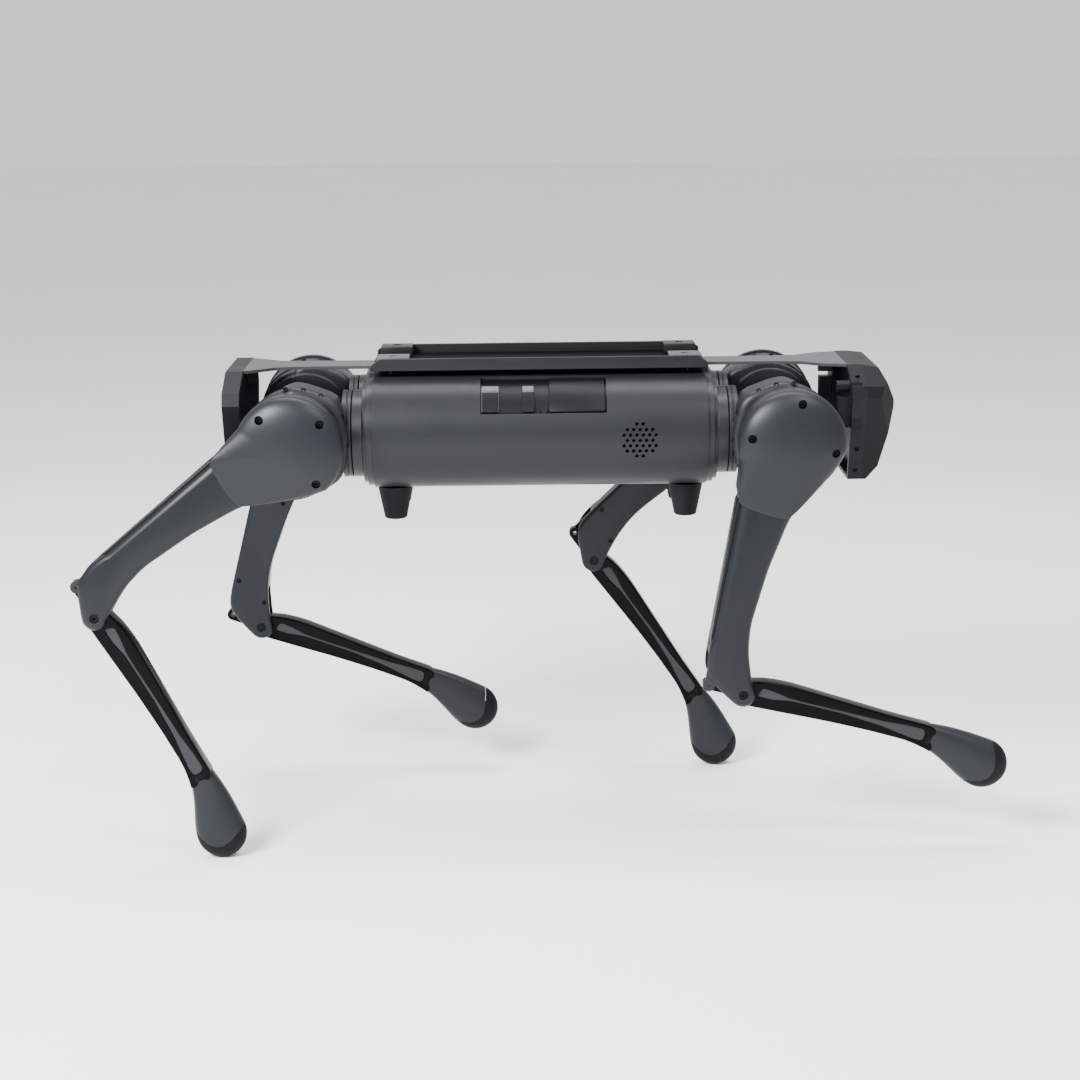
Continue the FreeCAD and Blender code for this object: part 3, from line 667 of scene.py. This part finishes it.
def housing_look(fore):
    """Pitch drive's casing: a smooth barrel that runs into the neck of the roll ring."""
    to_trunk = -fore
    full = arc(0, 0, 50.0, 0, 355, 71)
    barrel = slab("barrel", side_view(full), HOUSING_OUT - 21, HOUSING_OUT, [(HOUSING_OUT, 9.0)], 50.0)
    swell = [(to_trunk * SWELL_R * math.cos(math.radians(a)), SWELL_R * math.sin(math.radians(a)))
             for a in range(-90, 91, 5)]
    neck = [(to_trunk * NECK_X, -NECK_Z), (to_trunk * NECK_X, NECK_Z)]
    hull = convex(swell + neck + [(-to_trunk * 16.0, -47.0), (-to_trunk * 16.0, 47.0)])
    shoulder = slab("shoulder", softened(hull, 2, 10.0), HOUSING_IN + 2, HOUSING_OUT - 1.5,
                    [(HOUSING_IN + 2, 6.0), (HOUSING_OUT - 1.5, 9.0)], 60.0)
    ring = slab("back_ring", side_view(arc(0, 0, 48.5, 0, 355, 71)), HOUSING_IN + 5, HOUSING_IN + 12,
                [(HOUSING_IN + 5, 1.5), (HOUSING_IN + 12, 1.0)])
    back = slab("back", side_view(arc(0, 0, 44, 0, 355, 71)), HOUSING_IN, HOUSING_IN + 5.2,
                [(HOUSING_IN, 2.0)])
    core = slab("core", side_view(arc(0, 0, 45, 0, 355, 71)), HOUSING_IN + 11.8, HOUSING_OUT - 20)
    chamber = [round_hole(0, 0, 40.2, HOUSING_OUT - 8, HOUSING_OUT + 1, 72)]
    barrel = carve(barrel, [shoulder], "UNION", 50.0)
    barrel = carve(barrel, chamber, smooth_angle=50.0)
    return joined("housing", [barrel, ring, back, core] + ring_plates(to_trunk))


def convex(points):
    """Convex hull of points in a plane, in order."""
    points = sorted(set(points))
    halves = []
    for run in (points, points[::-1]):
        half = []
        for p in run:
            while len(half) > 1 and (
                (half[-1][0] - half[-2][0]) * (p[1] - half[-2][1])
                - (half[-1][1] - half[-2][1]) * (p[0] - half[-2][0])
            ) <= 0:
                half.pop()
            half.append(p)
        halves += half[:-1]
    return halves


def turned_x(name, middle, profile, sides=72):
    """A round body about an axis along X: profile holds (x, radius), middle is (y, z)."""
    rings = []
    for x, r in profile:
        turn = [2 * math.pi * i / sides for i in range(sides)]
        rings.append([(x, middle[0] + r * math.cos(a), middle[1] + r * math.sin(a)) for a in turn])
    return loft(name, rings, 40.0)


def ring_plates(to_trunk):
    """The turning ring on the roll axis with the groove round it, and its axle."""
    near, far = to_trunk * 56.0, to_trunk * 46.6
    outer = turned_x("ring", (ROLL_LOCAL, 0.0), [
        (near, 41.6), (near - to_trunk * 0.9, 43.0), (near - to_trunk * 3.6, 43.0),
        (near - to_trunk * 4.1, 42.0), (near - to_trunk * 4.8, 42.0),
        (near - to_trunk * 5.3, 43.0), (far, 43.0)])
    axle = turned_x("axle", (ROLL_LOCAL, 0.0), [(to_trunk * 65.8, 12.0), (near - to_trunk, 12.0)], 36)
    return [outer, axle]


def build_leg(leg):
    places = leg_places(leg)
    fore = 1.0 if places["hip"].translation.x > 0 else -1.0
    hip_body, thigh_body, calf_body = leg + "_hip", leg + "_thigh", leg + "_calf"

    def finish(obj, name, material, place, body, *nodes):
        obj.name = leg + "_" + name
        dress(obj, material)
        placed(obj, places[place], body)
        if nodes:
            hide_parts(*[leg + "_" + n for n in nodes])

    finish(thigh_inner_look(), "thigh_inner_shell", "thigh_shell", "thigh", thigh_body, "thigh_inner")
    finish(thigh_outer_look(), "thigh_outer_shell", "thigh_shell", "thigh", thigh_body, "thigh_outer")
    finish(seam_look(), "thigh_seam", "dark_drive", "thigh", thigh_body)
    finish(lid_look(), "drive_lid", "cover_shell", "thigh", thigh_body, "thigh_cover")
    finish(edge_screws_look(), "edge_screws", "screw_steel", "thigh", thigh_body)
    finish(shin_look(), "shin", "shin_black", "calf", calf_body, "calf_tube")
    finish(strip_look(), "shin_web", "shin_strip", "calf", calf_body)
    sock, sole = foot_looks()
    finish(sock, "foot_shell", "sock_shell", "calf", calf_body, "foot_sock")
    finish(sole, "foot_sole", "rubber_black", "calf", calf_body, "foot_pad")
    finish(rim_screws(fore), "rim_screws", "screw_steel", "hip", hip_body)
    finish(housing_look(fore), "drive_housing", "housing_metal", "hip", hip_body, "hip_housing")


for leg_name in LEGS:
    build_leg(leg_name)

# ---------------------------------------------------------------- trunk details

DECK_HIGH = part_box("payload_deck")[1]
DECK_X = DECK_HIGH.x / MM
DECK_Y = DECK_HIGH.y / MM
DECK_Z = AXIS_Z / MM + 62.0
RAIL_Z = DECK_Z + 12.0
PAD_Z = DECK_HIGH.z / MM
PAD = (144.0, 41.0, 16.0)    # X and Y of a pad's hole, and half the pad's length


def block(name, x0, x1, y0, y1, z0, z1, bevel=0.8):
    """A box with rounded edges."""
    outline = [(x0, z0), (x1, z0), (x1, z1), (x0, z1)]
    obj = slab(name, outline, y0, y1)
    mod = obj.modifiers.new("round", "BEVEL")
    mod.width = bevel
    mod.segments = 3
    mod.limit_method = "ANGLE"
    bpy.context.view_layer.update()
    baked(obj)
    shade(obj.data, 35.0)
    return obj


def on_trunk(obj, name, material):
    obj.name = name
    dress(obj, material)
    obj.data.transform(Matrix.Scale(MM, 4))
    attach(obj, "trunk")
    return obj


def deck_look():
    """The payload deck's two rails, its tray on two long near-black feet, and its four drilled pads; the feet run
    the deck's whole length as a painted shadow line under the rails.
    """
    rail_line = [(-DECK_X, DECK_Z), (DECK_X, DECK_Z), (DECK_X, RAIL_Z - 6), (DECK_X - 8, RAIL_Z),
                 (8 - DECK_X, RAIL_Z), (-DECK_X, RAIL_Z - 6)]
    rails = []
    for side in (-1, 1):
        outer, inner = side * DECK_Y, side * (DECK_Y - 3)
        low, high = min(outer, inner), max(outer, inner)
        rails.append(slab("rail", rail_line, low, high, [(low, 0.7), (high, 0.7)]))
    rails = on_trunk(joined("rails", rails), "deck_rails", "deck_metal")
    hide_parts("payload_deck")
    floor_plate = block("plate", -DECK_X, DECK_X, -DECK_Y + 2.9, DECK_Y - 2.9, DECK_Z, DECK_Z + 3)
    # painted shade: the deck's near-black feet are stretched along the whole deck to stand in for the shadow line
    # under the rails
    shadow_line_runners = [block("shadow_line_runner", -146, 146, 28 * side - 13, 28 * side + 13, DECK_Z - 6, DECK_Z + 0.5)
               for side in (-1, 1)]
    on_trunk(joined("tray", [floor_plate] + shadow_line_runners), "deck_tray", "deck_floor")
    # painted shade: the far (left) pads take the darker deck_metal instead of pad_metal, though all four pads are
    # the same
    for sy, name, material in ((-1, "deck_pads_right", "pad_metal"), (1, "deck_pads_left_in_painted_shade", "deck_metal")):
        pads = []
        for sx in (-1, 1):
            inner, outer = sy * 26.0, sy * (DECK_Y - 2.9)
            pad = block("pad", sx * PAD[0] - PAD[2], sx * PAD[0] + PAD[2], min(inner, outer),
                        max(inner, outer), DECK_Z + 2.8, PAD_Z, 1.0)
            hole = turned_z((sx * PAD[0], sy * PAD[1]), [(DECK_Z, 3.2), (PAD_Z - 1.0, 3.2),
                                                         (PAD_Z - 1.0, 4.2), (PAD_Z + 2, 4.2)])
            pads.append(carve(pad, [hole]))
        on_trunk(joined("pads", pads), name, material)


def turned_z(middle, profile, sides=40):
    rings = []
    for z, r in profile:
        turn = [2 * math.pi * i / sides for i in range(sides)]
        rings.append([(middle[0] + r * math.cos(a), middle[1] + r * math.sin(a), z) for a in turn])
    return loft("turned", rings)


SECTION_Y = 39.0             # centre of the trunk's round sides
CENTRE_Z = AXIS_Z / MM
FRAME_SCREW_X = 311.0
FRAME_SCREWS = ((82.5, 8.0, 73.0), (74.5, -18.0, 73.0), (67.5, -40.0, 73.0), (70.0, 53.5, 145.0))


def bent_plate(name, x0, x1, a0, a1, r0, r1, steps=16):
    """A plate that follows the trunk's right round side between two radii and two angles."""
    turn = [math.radians(a0 + (a1 - a0) * i / steps) for i in range(steps + 1)]
    loop = [(-SECTION_Y - r1 * math.cos(a), CENTRE_Z + r1 * math.sin(a)) for a in turn]
    loop += [(-SECTION_Y - r0 * math.cos(a), CENTRE_Z + r0 * math.sin(a)) for a in reversed(turn)]
    obj = loft(name, [[(x, y, z) for y, z in loop] for x in (x0, x1)])
    mod = obj.modifiers.new("round", "BEVEL")
    mod.width = 0.5
    mod.segments = 3
    mod.limit_method = "ANGLE"
    mod.angle_limit = math.radians(40)
    bpy.context.view_layer.update()
    baked(obj)
    shade(obj.data, 35.0)
    return obj


def port_look():
    """Two ribbed socket covers and a hinged lid in the port window."""
    covers = []
    for x0, x1 in ((-57.0, -40.0), (-17.0, -6.0)):
        covers.append(bent_plate("cover", x0, x1, 27.5, 60.0, 53.0, 55.2))
        for a in (36.0, 44.0, 52.0):
            covers.append(bent_plate("rib", x0 + 2, x1 - 2, a, a + 2.2, 55.0, 55.7, 4))
    on_trunk(joined("covers", covers), "port_covers", "port_light")
    lid = bent_plate("lid", 9.0, 63.5, 27.0, 72.0, 53.6, 55.4)
    on_trunk(lid, "port_lid", "port_plastic")


def grille_look():
    """Fine black cloth behind the speaker's holes."""
    plate = bent_plate("grille", 80.0, 114.0, -19.0, 14.0, 50.4, 52.6)
    on_trunk(plate, "speaker_cloth", "rubber_black")


def frame_screws():
    """Small screws round the front frame's band."""
    heads = []
    for side in (-1, 1):
        for y, z, turn in FRAME_SCREWS:
            head = cylinder("head", (0, 0), 2.3, -0.8, 0.6, 24)
            head = carve(head, [cylinder("socket", (0, 0), 1.1, 0.0, 1.4, 6)])
            head.data.transform(Matrix.Rotation(math.radians(90 - turn), 4, "X"))
            head.data.transform(Matrix.Translation((FRAME_SCREW_X, y, CENTRE_Z + z)))
            if side < 0:
                head.data.transform(Matrix.Diagonal((1, -1, 1, 1)))
                head.data.flip_normals()
            heads.append(head)
    on_trunk(joined("heads", heads), "frame_screws", "screw_steel")


deck_look()
port_look()
grille_look()
frame_screws()

# ---------------------------------------------------------------- CAD nodes as they are

NODES = frame["nodes"]
SLOT_OF = {s["node"]: s["material_slot"] for s in frame["record"]["subparts"]}


def dress_node(node):
    mesh = NODES[node].data
    mesh.materials.clear()
    mesh.materials.append(MATERIALS[SLOT_OF[node]])


for node in NODES:
    dress_node(node)

# ---------------------------------------------------------------- stage


def area_light(name, place, aim, size, power):
    light = bpy.data.lights.new(name, "AREA")
    light.shape = "RECTANGLE"
    light.size = size[0]
    light.size_y = size[1]
    light.energy = power
    obj = bpy.data.objects.new(name, light)
    obj.location = place
    obj.rotation_euler = (Vector(aim) - Vector(place)).to_track_quat("-Z", "Y").to_euler()
    bpy.context.scene.collection.objects.link(obj)


def floor():
    bm = bmesh.new()
    bmesh.ops.create_grid(bm, x_segments=24, y_segments=24, size=12.0)
    obj = from_bmesh("floor", bm)
    n = Nodes("floor_paper")
    n.link(
        n.ramp(n.noise(3.0, 4.0), [(0.3, (0.90, 0.90, 0.90)), (0.7, (0.93, 0.93, 0.93))]),
        n.shader.inputs["Base Color"],
    )
    n.shader.inputs["Roughness"].default_value = 0.85
    n.shader.inputs["Specular IOR Level"].default_value = 0.1
    obj.data.materials.append(n.material)


floor()
world = bpy.data.worlds.new("studio")
bpy.context.scene.world = world
world.use_nodes = True
world.node_tree.nodes["Background"].inputs["Color"].default_value = (1.0, 1.0, 1.0, 1.0)
world.node_tree.nodes["Background"].inputs["Strength"].default_value = 1.02
area_light("key", (-1.35, -1.65, 1.75), (0.0, 0.0, 0.38), (1.1, 0.6), 185.0)
area_light("fill", (0.9, -1.2, 2.1), (0.2, 0.0, 0.38), (0.7, 0.4), 26.0)
area_light("top", (0.1, 0.3, 2.4), (0.0, 0.0, 0.4), (2.2, 0.6), 60.0)

CAMERA_PLACE = (-0.0227, -2.2546, 0.7945)
CAMERA_DOWN = 12.682         # degrees below the horizon
CAMERA_TURN = -0.562
CAMERA_ROLL = -0.601
LENS = 75.18

camera = bpy.data.objects.new("camera", bpy.data.cameras.new("camera"))
camera.data.sensor_width = 36.0
camera.data.lens = LENS
camera.data.clip_end = 60.0
camera.rotation_euler = (
    Matrix.Rotation(math.radians(CAMERA_TURN), 3, "Z")
    @ Matrix.Rotation(math.radians(90.0 - CAMERA_DOWN), 3, "X")
    @ Matrix.Rotation(math.radians(CAMERA_ROLL), 3, "Z")
).to_euler()
camera.location = CAMERA_PLACE
bpy.context.scene.collection.objects.link(camera)
bpy.context.scene.camera = camera
